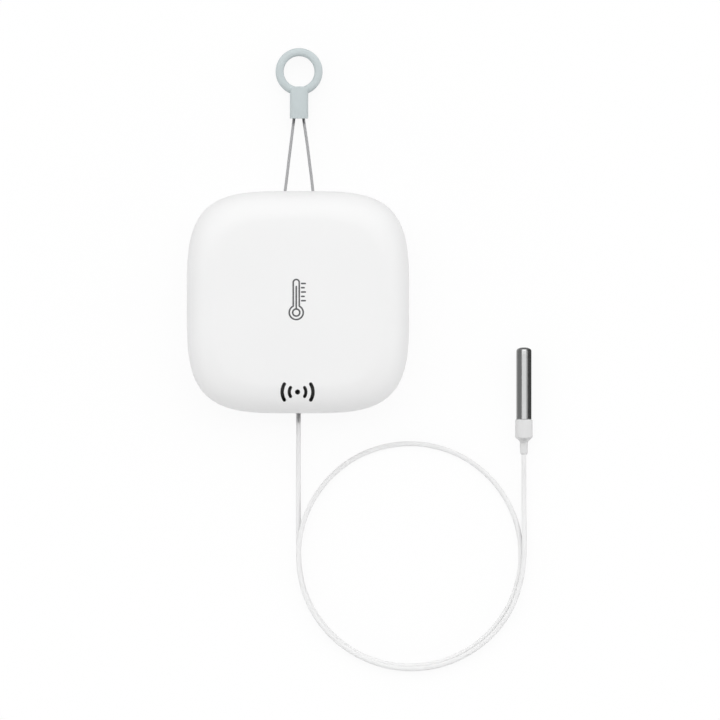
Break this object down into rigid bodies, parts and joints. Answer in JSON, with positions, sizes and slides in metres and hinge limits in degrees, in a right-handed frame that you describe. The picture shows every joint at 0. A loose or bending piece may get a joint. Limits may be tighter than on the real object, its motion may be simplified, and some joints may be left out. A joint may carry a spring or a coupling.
{
  "type": "temperature sensor with a wired probe",
  "caption": "White 60 mm puck-shaped temperature sensor lying on its back, with a grey-green hanging ring on a wire loop and a steel probe on a thin white lead.",
  "frame": {"origin": "centre of the flat rear face, on the surface that the sensor lies on", "axes": "+Z out of the crowned front, +Y towards the hanging ring, +X to the right as seen from the front"},
  "size_m": [0.0933, 0.1682, 0.021],
  "materials": {
    "shell_white": "fine matte moulded",
    "cover_white": "matte moulded",
    "seal_rubber": "matte",
    "ring_silicone": "satin silicone",
    "lanyard_wire": "coated wire",
    "lead_white": "smooth jacket",
    "boot_white": "smooth overmould",
    "sheath_steel": "drawn stainless",
    "screw_steel": "plated",
    "contact_nickel": "nickel plate",
    "cell_wrap": "shrink wrap",
    "holder_black": "moulded",
    "board_green": "solder mask",
    "shield_tin": "tin plate",
    "chip_black": "moulded",
    "ceramic_tan": "fired",
    "gauze_black": "fine gauze",
    "header_cream": "moulded",
    "resin_amber": "cast"
  },
  "bodies": {
    "root": {"front_shell": "shell_white", "rear_cover": "cover_white", "cover_gasket": "seal_rubber", "cover_screw_1": "screw_steel", "cover_screw_2": "screw_steel", "cover_screw_3": "screw_steel", "cover_screw_4": "screw_steel", "vent_gauze": "gauze_black", "battery_holder": "holder_black", "aaa_cell_1": "cell_wrap", "aaa_cell_2": "cell_wrap", "contact_plus": "contact_nickel", "contact_minus": "contact_nickel", "contact_bridge": "contact_nickel", "battery_spring_1": "contact_nickel", "battery_spring_2": "contact_nickel", "circuit_board": "board_green", "radio_shield": "shield_tin", "radio_antenna": "ceramic_tan", "controller_chip": "chip_black", "clock_crystal": "shield_tin", "storage_capacitor": "ceramic_tan", "air_sensor": "chip_black", "lead_header": "header_cream", "lead_plug": "header_cream", "lead_tail": "lead_white", "lead_grommet": "boot_white", "lead": "lead_white", "probe_boot": "boot_white", "probe_sheath": "sheath_steel", "probe_resin": "resin_amber", "thermistor_bead": "chip_black", "lanyard": "lanyard_wire", "hang_ring": "ring_silicone"}
  },
  "joints": []
}
